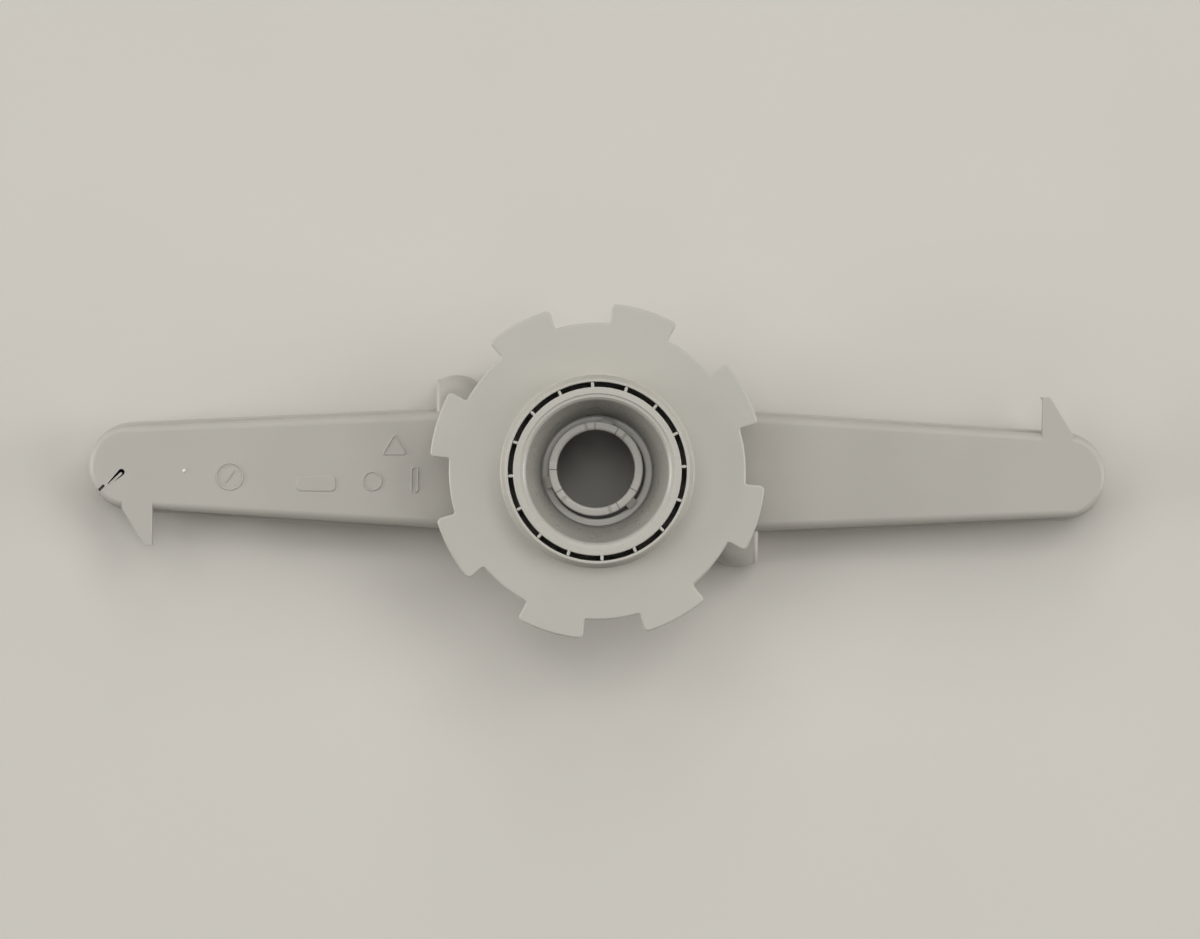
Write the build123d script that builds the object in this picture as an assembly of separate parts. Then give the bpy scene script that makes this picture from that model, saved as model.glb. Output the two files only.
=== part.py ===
from build123d import *
from math import asin, cos, radians, sin
import os

# A small dishwasher spray arm that lies on its spray face, with its toothed hub upwards.
# Sizes are in millimetres. +X runs along the arm, +Z is up and the hub's axis is the Z axis.

# Wings
TIP_CENTRE = 97.2           # from the hub's axis to the middle of a wing's round end
TIP_RADIUS = 8.45           # round end of a wing, outside its side wall
ROOT_RADIUS = 13.85         # circle about the hub's axis that the wings taper from
ARM_HEIGHT = 13.5           # from the spray face to the wings' opposite face
SEAM_HEIGHT = 6.0           # from the spray face to the welded seam
WALL = 1.8                  # both shells
EDGE_ROUND = 2.2            # edge of the plain face
SPRAY_EDGE_BEVEL = 1.5      # edge of the spray face
SEAM_FLANGE_REACH = 0.95    # weld flange, out from the side wall
SEAM_FLANGE_HEIGHT = 1.2    # weld flange, on each side of the seam

# Fins at the tips
FIN_THICKNESS = 2.0
FIN_REACH = 7.95            # out from the wing's tip radius
FIN_INNER_EDGE = 4.65       # from the tip's centre back to the fin's upright edge
FIN_END_WIDTH = 1.8
FIN_LIP = 0.5               # hook at the fin's end, towards the hub
FIN_ROOT_WIDTH = 6.4        # width where the fin leaves the wing

# Drive slot in one tip, with a bridge between its two openings
DRIVE_SLOT_BEYOND_TIP = 3.0
DRIVE_SLOT_OFFSET = 1.7     # from the arm's middle line
DRIVE_SLOT_TURN = 39.0
DRIVE_SLOT_LENGTH = 4.3
DRIVE_SLOT_WIDTH = 0.95
DRIVE_NOTCH_LENGTH = 1.7
DRIVE_BRIDGE = 0.75

# Side nozzle hoods, one on each long side
HOOD_X = 29.4               # middle of the hood along the arm
HOOD_RADIUS = 6.8
HOOD_OUTSET = 0.8           # middle of the hood, out from the wing's side wall
HOOD_FLAT = 4.3             # from the middle of the hood to its flat jet face
HOOD_HEIGHT = 12.0
HOOD_ROUND = 3.0
JET_WIDTH = 3.4
JET_HEIGHT = 1.6
JET_OUTSET = 2.6            # middle of the jet, out from the wing's side wall

# Spray nozzles in the spray face
NOZZLE_COUNT = 3            # on each wing
NOZZLE_FIRST = 34.0
NOZZLE_PITCH = 25.0
NOZZLE_LENGTH = 7.5
NOZZLE_WIDTH = 1.4
NOZZLE_TURN = 62.0          # across the arm, turned the other way on every second nozzle
DIMPLE_MARGIN = 1.5         # dimple around each nozzle
DIMPLE_DEPTH = 0.7

# Bush that clips on the feed pipe, with the ring that it turns in
BORE_RADIUS = 7.7
BUSH_WALL = 1.75
BUSH_CLEARANCE = 0.35       # round the bush, in the ring
BUSH_FLANGE_COVER = 1.2     # flange beyond the hole in the deck
BUSH_FLANGE_THICKNESS = 1.6
BUSH_END_PLAY = 0.5         # between the flange and the deck
BUSH_TAIL = 2.2             # bush below its flange
BUSH_RIM_HEIGHT = 1.7       # bush above the ring
FINGER_COUNT = 3
FINGER_START = 76.6         # direction of the first finger
FINGER_RISE = 0.5           # rim of the fingers above the rim between them
FINGER_ARC = 54.0
SLIT_WIDTH = 0.4
SLIT_ARC = 30.0             # between the middles of a finger's two slits
SLIT_DEPTH = 6.0
HOOK_ARC = 13.0
HOOK_REACH = 1.45           # beyond the bush's outside
HOOK_HEIGHT = 1.5
HOOK_FRONT = 0.5            # upright front of a hook, below its lead-in slope
HOOK_CLEARANCE = 0.25       # between the hooks and the ring
RING_FACE_WIDTH = 1.7       # bare face of the ring
RING_HEIGHT = 2.5
RING_CLEARANCE = 0.1        # round the ring, in its seat
RING_EDGE_BEVEL = 0.3
DECK_HOLE_CLEARANCE = 1.2   # hole in the deck beyond the ring's bore

# Hub pot of the lower shell, with the toothed disc welded on its deck
DECK_HEIGHT = 19.5
WELD_LIP_REACH = 0.8
WELD_LIP_HEIGHT = 1.0
COLLAR_BORE_RADIUS = 18.3
SKIRT_WALL = 2.0
SKIRT_HEIGHT = 6.0
DISC_THICKNESS = 2.0
DISC_RADIUS = 34.5
DISC_EDGE_BEVEL = 0.35
COLLAR_HEIGHT = 4.5         # above the disc
COLLAR_FOOT_WALL = 1.5
COLLAR_RIM_WALL = 0.6
COLLAR_FOOT_FLARE = 1.3
TOOTH_COUNT = 8
TOOTH_HEIGHT = 4.0
TOOTH_ARC = 23.5
TOOTH_START = 28.9          # direction of the first tooth
TOOTH_CORNER_BEVEL = 0.4

# Hub insert: a funnel with webs that stand in the collar
SLOT_WIDTH = 1.05           # ring-shaped slot inside the collar
RIM_WIDTH = 2.05
RIM_STEP_WIDTH = 0.7
RIM_STEP_DEPTH = 0.3
RIM_THICKNESS = 1.6
FUNNEL_WALL = 1.5
FUNNEL_LEAD = 0.5           # rounded lead-in at the funnel's mouth
SEAT_WALL = 1.4             # foot of the insert, round the ring
LIP_COVER = 1.2             # lip of the insert, over the ring
WEB_COUNT = 16
WEB_THICKNESS = 0.65
WEB_START = 3.7             # direction of the first web
WEB_CLEARANCE = 0.05        # between the webs and the collar

CUT_REACH = 2.0             # a cutting shape, in sizes of what it cuts

# Places that follow from the sizes above
taper = asin((ROOT_RADIUS - TIP_RADIUS) / TIP_CENTRE)
hub_radius = COLLAR_BORE_RADIUS + SKIRT_WALL
disc_bottom = DECK_HEIGHT + SKIRT_HEIGHT
disc_top = disc_bottom + DISC_THICKNESS
rim_top = disc_top + COLLAR_HEIGHT
bush_radius = BORE_RADIUS + BUSH_WALL
ring_bore_radius = bush_radius + BUSH_CLEARANCE
throat_radius = ring_bore_radius + RING_FACE_WIDTH
ring_radius = throat_radius + LIP_COVER
ring_top = DECK_HEIGHT + RING_HEIGHT
seat_radius = ring_radius + RING_CLEARANCE
deck_hole_radius = ring_bore_radius + DECK_HOLE_CLEARANCE
deck_bottom = DECK_HEIGHT - WALL


def slab(outline, bottom, top):
    """A flat outline made solid between two heights."""
    return Pos(0, 0, bottom) * extrude(outline, amount=top - bottom, dir=(0, 0, 1))


def turned(profile):
    """A profile of radius and height turned about the hub's axis."""
    return revolve(Plane.XZ * profile, Axis.Z)


def both_ends(solid):
    """A solid with its copy at the other end of the arm."""
    return solid + Rot(0, 0, 180) * solid


def wing_half_width(x):
    """Half the width of the wings at a distance from the hub's axis."""
    return (ROOT_RADIUS - x * sin(taper)) / cos(taper)


def wing_plan(grow=0.0):
    """Outline of the two tapered wings, grown by an even margin."""
    root = Circle(ROOT_RADIUS + grow)
    tip = Circle(TIP_RADIUS + grow)
    right_tip = Pos(TIP_CENTRE, 0) * tip
    left_tip = Pos(-TIP_CENTRE, 0) * tip
    return make_hull(root.edges() + right_tip.edges() + left_tip.edges())


def hood_plan(grow=0.0):
    """Outline of the hood on the left wing, grown by an even margin."""
    middle = (-HOOD_X, wing_half_width(HOOD_X) + HOOD_OUTSET)
    round_side = Circle(HOOD_RADIUS + grow)
    flat_side = Pos(-HOOD_FLAT - grow, 0) * Rectangle(
        2 * CUT_REACH * HOOD_RADIUS, 2 * CUT_REACH * HOOD_RADIUS, align=(Align.MIN, Align.CENTER)
    )
    return Pos(*middle) * (round_side & flat_side)


def flange_plan():
    """Outline of the weld flange round the wings and the hub."""
    return wing_plan(SEAM_FLANGE_REACH) + Circle(hub_radius + SEAM_FLANGE_REACH)


def cavity_plan():
    """Outline of the water space inside the walls."""
    hood = hood_plan(-WALL)
    return wing_plan(-WALL) + Circle(hub_radius - WALL) + hood + Rot(0, 0, 180) * hood


def sector(arc, radius):
    """Wedge about the X axis that reaches past a radius."""
    half = radians(arc / 2)
    corner = Vector(cos(half), sin(half)) * CUT_REACH * radius
    return make_face(Polyline((0, 0), (corner.X, -corner.Y), (corner.X, corner.Y), close=True))


def top_edges(solid):
    return solid.faces().sort_by(Axis.Z)[-1].edges()


def bottom_edges(solid):
    return solid.faces().sort_by(Axis.Z)[0].edges()


def rounded_top(outline, bottom, top, radius):
    solid = slab(outline, bottom, top)
    return fillet(top_edges(solid), radius)


def bevelled_bottom(outline, bottom, top, length):
    solid = slab(outline, bottom, top)
    return chamfer(bottom_edges(solid), length)


def fin():
    """Flat fin beside the right tip, level with the wing's face."""
    inner = TIP_CENTRE - FIN_INNER_EDGE
    end = TIP_RADIUS + FIN_REACH
    outline = make_face(
        Polyline(
            (inner, 0),
            (inner, end - FIN_LIP),
            (inner - FIN_LIP, end),
            (inner + FIN_END_WIDTH, end),
            (inner + FIN_ROOT_WIDTH, TIP_RADIUS),
            (inner + FIN_ROOT_WIDTH, 0),
            close=True,
        )
    )
    return slab(outline, ARM_HEIGHT - FIN_THICKNESS, ARM_HEIGHT)


def drive_slot():
    """Slanted slot in the left tip and the notch that carries it over the rim."""
    place = Pos(-TIP_CENTRE - DRIVE_SLOT_BEYOND_TIP, -DRIVE_SLOT_OFFSET) * Rot(0, 0, DRIVE_SLOT_TURN)
    notch_shift = (DRIVE_SLOT_LENGTH + DRIVE_NOTCH_LENGTH) / 2 + DRIVE_BRIDGE
    slot = place * SlotOverall(DRIVE_SLOT_LENGTH, DRIVE_SLOT_WIDTH)
    notch = place * Pos(-notch_shift, 0) * SlotOverall(DRIVE_NOTCH_LENGTH, DRIVE_SLOT_WIDTH)
    return slab(slot + notch, ARM_HEIGHT - CUT_REACH * WALL, ARM_HEIGHT)


def hood_jet():
    """Jet through the flat face of the left wing's hood."""
    face_x = -HOOD_X - HOOD_FLAT
    middle_y = wing_half_width(-face_x) + JET_OUTSET
    middle_z = (SEAM_HEIGHT + SEAM_FLANGE_HEIGHT + HOOD_HEIGHT - WALL) / 2
    return Pos(face_x, middle_y, middle_z) * Box(2 * CUT_REACH * WALL, JET_WIDTH, JET_HEIGHT)


def make_lower_shell():
    """Half with the wings' plain face, the fins, the hoods and the hub pot."""
    shell = rounded_top(wing_plan(), SEAM_HEIGHT, ARM_HEIGHT, EDGE_ROUND)
    shell += both_ends(rounded_top(hood_plan(), SEAM_HEIGHT, HOOD_HEIGHT, HOOD_ROUND))
    shell += both_ends(fin())
    shell += slab(Circle(hub_radius), SEAM_HEIGHT, DECK_HEIGHT)
    shell += slab(Circle(hub_radius + WELD_LIP_REACH), DECK_HEIGHT - WELD_LIP_HEIGHT, DECK_HEIGHT)
    shell += slab(flange_plan(), SEAM_HEIGHT, SEAM_HEIGHT + SEAM_FLANGE_HEIGHT)
    shell -= slab(wing_plan(-WALL), SEAM_HEIGHT, ARM_HEIGHT - WALL)
    shell -= both_ends(slab(hood_plan(-WALL), SEAM_HEIGHT, HOOD_HEIGHT - WALL))
    shell -= slab(Circle(hub_radius - WALL), SEAM_HEIGHT, deck_bottom)
    shell -= slab(Circle(deck_hole_radius), deck_bottom, DECK_HEIGHT)
    shell -= both_ends(hood_jet())
    return shell - drive_slot()


def spray_nozzles():
    """Slots through the spray face, each in a shallow oval dimple."""
    cuts = Part()
    for number in range(NOZZLE_COUNT):
        turn = NOZZLE_TURN if number % 2 == 0 else 180 - NOZZLE_TURN
        place = Pos(NOZZLE_FIRST + number * NOZZLE_PITCH, 0) * Rot(0, 0, turn)
        slot = place * Rectangle(NOZZLE_LENGTH, NOZZLE_WIDTH)
        dimple = place * SlotOverall(NOZZLE_LENGTH + 2 * DIMPLE_MARGIN, NOZZLE_WIDTH + 2 * DIMPLE_MARGIN)
        cuts += both_ends(slab(slot, 0, WALL))
        cuts += both_ends(slab(dimple, 0, DIMPLE_DEPTH))
    return cuts


def make_upper_shell():
    """Half with the spray face, which the arm lies on."""
    shell = bevelled_bottom(wing_plan(), 0, SEAM_HEIGHT, SPRAY_EDGE_BEVEL)
    shell += bevelled_bottom(Circle(hub_radius), 0, SEAM_HEIGHT, SPRAY_EDGE_BEVEL)
    shell += both_ends(bevelled_bottom(hood_plan(), 0, SEAM_HEIGHT, SPRAY_EDGE_BEVEL))
    shell += slab(flange_plan(), SEAM_HEIGHT - SEAM_FLANGE_HEIGHT, SEAM_HEIGHT)
    shell -= slab(cavity_plan(), WALL, SEAM_HEIGHT)
    return shell - spray_nozzles()


def toothed_plan():
    """Outline of the disc with its coarse square teeth."""
    pitch = 360 / TOOTH_COUNT
    gap = sector(pitch - TOOTH_ARC, DISC_RADIUS) - Circle(DISC_RADIUS - TOOTH_HEIGHT)
    outline = Circle(DISC_RADIUS)
    for number in range(TOOTH_COUNT):
        outline -= Rot(0, 0, TOOTH_START + (number + 0.5) * pitch) * gap
    return chamfer(outline.vertices(), TOOTH_CORNER_BEVEL)


def make_toothed_disc():
    """Toothed disc with the skirt below it and the collar above it."""
    foot_radius = COLLAR_BORE_RADIUS + COLLAR_FOOT_WALL
    web_radius = foot_radius + 2 * COLLAR_FOOT_FLARE
    profile = make_face(
        Polyline(
            (COLLAR_BORE_RADIUS, DECK_HEIGHT),
            (hub_radius + WELD_LIP_REACH, DECK_HEIGHT),
            (hub_radius + WELD_LIP_REACH, DECK_HEIGHT + WELD_LIP_HEIGHT),
            (hub_radius, DECK_HEIGHT + WELD_LIP_HEIGHT),
            (hub_radius, disc_bottom),
            (web_radius, disc_bottom),
            (web_radius, disc_top),
            (foot_radius, disc_top),
            (COLLAR_BORE_RADIUS + COLLAR_RIM_WALL, rim_top),
            (COLLAR_BORE_RADIUS, rim_top),
            close=True,
        )
    )
    foot_corner = profile.vertices().sort_by_distance((foot_radius, disc_top))[0]
    profile = chamfer(foot_corner, COLLAR_FOOT_FLARE)
    plate = slab(toothed_plan(), disc_bottom, disc_top)
    plate = chamfer(top_edges(plate), DISC_EDGE_BEVEL)
    plate -= slab(Circle(web_radius), disc_bottom, disc_top)
    return plate + turned(profile)


def make_hub_insert():
    """Funnel that leads the feed pipe to the bush, with webs out to the collar."""
    rim_radius = COLLAR_BORE_RADIUS - SLOT_WIDTH
    mouth_radius = rim_radius - RIM_WIDTH
    step_top = rim_top - RIM_STEP_DEPTH
    seat_outside = seat_radius + SEAT_WALL
    funnel_mouth = Vector(mouth_radius - FUNNEL_LEAD, step_top - FUNNEL_LEAD)
    funnel_throat = Vector(throat_radius, ring_top)
    run = (funnel_mouth - funnel_throat).normalized()
    across = Vector(run.Y, -run.X) * FUNNEL_WALL
    rim_bottom = rim_top - RIM_THICKNESS

    def outside_at_height(height):
        """Radius of the funnel's outside at a height."""
        base = funnel_throat + across
        return base.X + run.X / run.Y * (height - base.Y)

    def outside_at_radius(radius):
        """Height of the funnel's outside at a radius."""
        base = funnel_throat + across
        return base.Y + run.Y / run.X * (radius - base.X)

    funnel = make_face(
        Polyline(
            (seat_radius, DECK_HEIGHT),
            (seat_outside, DECK_HEIGHT),
            (seat_outside, outside_at_radius(seat_outside)),
            (outside_at_height(rim_bottom), rim_bottom),
            (rim_radius, rim_bottom),
            (rim_radius, rim_top),
            (mouth_radius + RIM_STEP_WIDTH, rim_top),
            (mouth_radius + RIM_STEP_WIDTH, step_top),
            (mouth_radius, step_top),
            (funnel_mouth.X, funnel_mouth.Y),
            (funnel_throat.X, funnel_throat.Y),
            (seat_radius, ring_top),
            close=True,
        )
    )
    web_inside = seat_outside - SEAT_WALL / 2
    web = make_face(
        Polyline(
            (web_inside, DECK_HEIGHT),
            (COLLAR_BORE_RADIUS - WEB_CLEARANCE, DECK_HEIGHT),
            (COLLAR_BORE_RADIUS - WEB_CLEARANCE, rim_top),
            (rim_radius - RIM_STEP_WIDTH, rim_top),
            (rim_radius - RIM_STEP_WIDTH, rim_bottom),
            (web_inside, outside_at_radius(web_inside)),
            close=True,
        )
    )
    web_plate = extrude(Plane.XZ * web, amount=WEB_THICKNESS / 2, both=True)
    insert = turned(funnel)
    for number in range(WEB_COUNT):
        insert += Rot(0, 0, WEB_START + number * 360 / WEB_COUNT) * web_plate
    return insert


def make_bearing_ring():
    """Glossy ring that the insert holds down on the deck."""
    ring = slab(Circle(ring_radius) - Circle(ring_bore_radius), DECK_HEIGHT, ring_top)
    bore_edges = ring.edges().filter_by(GeomType.CIRCLE).group_by(SortBy.RADIUS)[0]
    return chamfer(bore_edges, RING_EDGE_BEVEL)


def make_bearing_bush():
    """Bush with a flange under the deck and three snap fingers over the ring."""
    flange_top = deck_bottom - BUSH_END_PLAY
    flange_bottom = flange_top - BUSH_FLANGE_THICKNESS
    rim_between = ring_top + BUSH_RIM_HEIGHT
    rim_finger = rim_between + FINGER_RISE
    slit_bottom = rim_finger - SLIT_DEPTH
    hook_bottom = ring_top + HOOK_CLEARANCE
    hook_top = hook_bottom + HOOK_HEIGHT
    hook_radius = bush_radius + HOOK_REACH
    hook_root = bush_radius - BUSH_WALL / 2
    tube = Circle(bush_radius) - Circle(BORE_RADIUS)
    flange = Circle(deck_hole_radius + BUSH_FLANGE_COVER) - Circle(BORE_RADIUS)
    slit = Pos(bush_radius, 0) * Rectangle(2 * CUT_REACH * BUSH_WALL, SLIT_WIDTH)
    hook_profile = make_face(
        Polyline(
            (hook_root, hook_bottom),
            (hook_radius, hook_bottom),
            (hook_radius, hook_bottom + HOOK_FRONT),
            (bush_radius, hook_top),
            (hook_root, hook_top),
            close=True,
        )
    )
    hook = turned(hook_profile) & slab(sector(HOOK_ARC, hook_radius), hook_bottom, hook_top)
    slits = Sketch()
    finger_sectors = Sketch()
    hooks = Part()
    for number in range(FINGER_COUNT):
        place = Rot(0, 0, FINGER_START + number * 360 / FINGER_COUNT)
        slits += place * Rot(0, 0, SLIT_ARC / 2) * slit
        slits += place * Rot(0, 0, -SLIT_ARC / 2) * slit
        finger_sectors += place * sector(FINGER_ARC, bush_radius)
        hooks += place * hook
    bush = slab(tube, flange_bottom - BUSH_TAIL, slit_bottom)
    bush += slab(flange, flange_bottom, flange_top)
    bush += slab(tube - slits, slit_bottom, rim_between)
    bush += slab((tube & finger_sectors) - slits, rim_between, rim_finger)
    return bush + hooks


nodes = {
    "upper_shell": make_upper_shell(),
    "lower_shell": make_lower_shell(),
    "toothed_disc": make_toothed_disc(),
    "hub_insert": make_hub_insert(),
    "bearing_ring": make_bearing_ring(),
    "bearing_bush": make_bearing_bush(),
}

os.makedirs("parts", exist_ok=True)
for name, solid in nodes.items():
    export_step(solid, f"parts/{name}.step")
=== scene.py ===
from contextlib import contextmanager
from math import acos, asin, atan2, cos, pi, radians, sin, sqrt, tan

import bmesh
import bpy
from bpy.props import FloatProperty, FloatVectorProperty, IntProperty, PointerProperty
from mathutils import Matrix, Vector


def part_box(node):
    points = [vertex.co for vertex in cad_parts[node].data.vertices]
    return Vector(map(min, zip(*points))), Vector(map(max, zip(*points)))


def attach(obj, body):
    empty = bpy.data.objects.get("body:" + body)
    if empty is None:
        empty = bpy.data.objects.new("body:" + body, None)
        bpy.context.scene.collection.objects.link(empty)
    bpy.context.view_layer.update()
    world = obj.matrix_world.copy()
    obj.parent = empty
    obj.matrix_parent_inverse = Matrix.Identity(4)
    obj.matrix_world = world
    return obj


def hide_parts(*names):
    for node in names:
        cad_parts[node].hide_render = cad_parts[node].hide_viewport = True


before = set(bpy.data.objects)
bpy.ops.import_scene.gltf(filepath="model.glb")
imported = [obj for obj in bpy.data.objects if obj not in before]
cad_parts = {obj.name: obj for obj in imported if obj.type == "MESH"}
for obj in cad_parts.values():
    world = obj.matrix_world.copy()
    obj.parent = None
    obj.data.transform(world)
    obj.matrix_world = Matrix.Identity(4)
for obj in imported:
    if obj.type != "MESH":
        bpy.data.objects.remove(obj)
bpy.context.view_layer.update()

bl_info = {
    "name": "Dishwasher Spray Arm",
    "version": (1, 0, 0),
    "blender": (4, 5, 0),
    "location": "View3D > Sidebar > Spray Arm",
    "description": "Builds the moulded pieces of a small spray arm, with its floor, lamps and camera",
    "category": "Object",
}

# All lengths are metres and all angles are radians, unless a name says otherwise.
MM = 0.001

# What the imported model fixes
LOWER_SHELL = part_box("lower_shell")
UPPER_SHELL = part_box("upper_shell")
TOOTHED_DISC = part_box("toothed_disc")
BEARING_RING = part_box("bearing_ring")
BEARING_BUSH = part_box("bearing_bush")

# Fineness of the meshes
TURN_SEGMENTS = 192
TIP_STEPS = 56
ROOT_STEPS = 6
HOOD_SEGMENTS = 96
CROWN_STEPS = 12
SLOT_STEPS = 16
TOOTH_STEPS = 12
GAP_STEPS = 12
EDGE_STEPS = 8
CORNER_STEPS = 5
HOOK_STEPS = 8
MERGE_DISTANCE = 0.004 * MM
SHARP_ANGLE = radians(32)
FLAT_ANGLE = radians(0.1)

# Noise scales of the materials, how far the gloss varies, and the depth of the grain
FLOOR_SCALE = 12.0
CLOUD_SCALE = 70.0
GLOSS_SCALE = 420.0
GRAIN_SCALE = 5200.0
GLOSS_SPREAD = (0.05, 0.06)
GRAIN_DEPTH = 0.02 * MM
NOISE_MIDDLE = (0.3, 0.7)


def length(name, millimetres, description):
    """A size that a user may change, given in millimetres and kept in metres."""
    return FloatProperty(
        name=name,
        description=description,
        default=millimetres * MM,
        soft_min=0.0,
        precision=5,
        subtype="DISTANCE",
        unit="LENGTH",
    )


def angle(name, degrees, description):
    """An angle that a user may change, given in degrees and kept in radians."""
    return FloatProperty(
        name=name,
        description=description,
        default=radians(degrees),
        subtype="ANGLE",
        unit="ROTATION",
    )


def factor(name, default, description):
    """A share from 0 to 1."""
    return FloatProperty(
        name=name, description=description, default=default, min=0.0, max=1.0, subtype="FACTOR"
    )


def colour(name, default, description):
    """A linear colour."""
    return FloatVectorProperty(
        name=name, description=description, default=default, size=3, min=0.0, max=1.0, subtype="COLOR"
    )


def place(name, millimetres, description):
    """A point in the arm's plan, given in millimetres and kept in metres."""
    return FloatVectorProperty(
        name=name,
        description=description,
        default=[value * MM for value in millimetres],
        size=2,
        precision=5,
        subtype="XYZ_LENGTH",
        unit="LENGTH",
    )


class WingSizes(bpy.types.PropertyGroup):
    """Sizes of the two welded shells"""

    tip_centre: length("Tip Centre", 97.2, "From the hub's axis to the middle of a wing's round end")
    tip_radius: length("Tip Radius", 8.6, "Round end of a wing, outside its side wall")
    root_radius: length("Root Radius", 14.0, "Circle about the hub's axis that the wings taper from")
    arm_height: length("Arm Height", 13.5, "From the spray face to the plain face")
    seam_height: length("Seam Height", UPPER_SHELL[1].z / MM, "From the spray face to the welded seam")
    wall: length("Wall", 1.8, "Wall of both shells")
    side_round: length("Side Round", 2.2, "Round of the plain face along the wings' sides")
    tip_round: length("Tip Round", 1.2, "Round of the plain face at the wings' ends")
    spray_round: length("Spray Face Round", 1.5, "Round of the spray face's edge")
    flange_reach: length("Flange Reach", 0.7, "Weld flange, out from the side wall")
    flange_height: length("Flange Height", 1.2, "Weld flange, on each side of the seam")
    flange_round: length("Flange Round", 0.25, "Round of the weld flange's edges")
    fin_thickness: length("Fin Thickness", 2.0, "Thickness of a tip fin")
    fin_reach: length("Fin Reach", 7.8, "Fin, out from the wing's tip radius")
    fin_inner_edge: length("Fin Inner Edge", 4.65, "From the tip's centre back to the fin's upright edge")
    fin_end_width: length("Fin End Width", 1.55, "Width of the fin's free end")
    fin_lip: length("Fin Lip", 0.5, "Hook at the fin's end, towards the hub")
    fin_root_width: length("Fin Root Width", 6.4, "Width where the fin leaves the wing")
    fin_round: length("Fin Round", 0.3, "Round of the fin's corners in plan")
    fin_edge: length("Fin Edge", 0.1, "Round of the fin's upper and lower edges")
    slot_beyond_tip: length("Drive Slot Place", 3.0, "Middle of the drive slot, beyond the tip's centre")
    slot_offset: length("Drive Slot Offset", 2.3, "Middle of the drive slot, from the arm's middle line")
    slot_turn: angle("Drive Slot Turn", 44.0, "Turn of the drive slot from the arm's line")
    slot_length: length("Drive Slot Length", 4.5, "Length of the drive slot")
    slot_width: length("Drive Slot Width", 1.4, "Width of the drive slot at its inner end")
    slot_narrow: length("Drive Slot Narrow End", 0.6, "Width of the drive slot and its notch near the rim")
    tongue_width: length("Drive Tongue Width", 0.5, "Width of the tongue that the drive slot leaves")
    tongue_back: length("Drive Tongue Back", 0.7, "Tongue, back from the drive slot's inner end")
    tongue_offset: length("Drive Tongue Offset", 0.13, "Tongue, from the drive slot's middle line")
    tongue_sink: length("Drive Tongue Sink", 0.15, "From the plain face down to the tongue")
    slot_depth: length("Drive Slot Depth", 2.0, "Depth of the cut for the drive slot")
    notch_length: length("Drive Notch Length", 1.7, "Length of the notch at the rim")
    notch_shift: length("Drive Notch Shift", 0.5, "Notch, from the drive slot's middle line")
    bridge: length("Drive Bridge", 0.6, "Bridge between the drive slot and its notch")


class HoodSizes(bpy.types.PropertyGroup):
    """Sizes of the side nozzle hoods and of the nozzles in the spray face"""

    along: length("Hood Place", 29.4, "Middle of a hood along the arm")
    radius: length("Hood Radius", 6.8, "Round side of a hood")
    outset: length("Hood Outset", 0.6, "Middle of a hood, out from the wing's side wall")
    flat: length("Hood Flat", 4.3, "From the middle of a hood to its flat jet face")
    height: length("Hood Height", 12.0, "From the spray face to the top of a hood")
    round: length("Hood Round", 3.2, "Round of a hood's top")
    flat_round: length("Jet Face Round", 1.0, "Round of the jet face's edges")
    jet_width: length("Jet Width", 3.4, "Width of the jet in a hood")
    jet_height: length("Jet Height", 1.6, "Height of the jet in a hood")
    jet_outset: length("Jet Outset", 2.45, "Middle of the jet, out from the wing's side wall")
    nozzle_count: IntProperty(name="Nozzles", description="Nozzles on each wing", default=3, min=1)
    nozzle_first: length("First Nozzle", 34.0, "From the hub's axis to the first nozzle")
    nozzle_pitch: length("Nozzle Pitch", 25.0, "From one nozzle to the next")
    nozzle_length: length("Nozzle Length", 7.5, "Length of a nozzle's slot")
    nozzle_width: length("Nozzle Width", 1.4, "Width of a nozzle's slot")
    nozzle_turn: angle("Nozzle Turn", 62.0, "Turn of a nozzle from the arm's line")
    dimple_margin: length("Dimple Margin", 1.5, "Dimple around a nozzle's slot")
    dimple_depth: length("Dimple Depth", 0.7, "Depth of the dimple around a nozzle")


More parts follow.
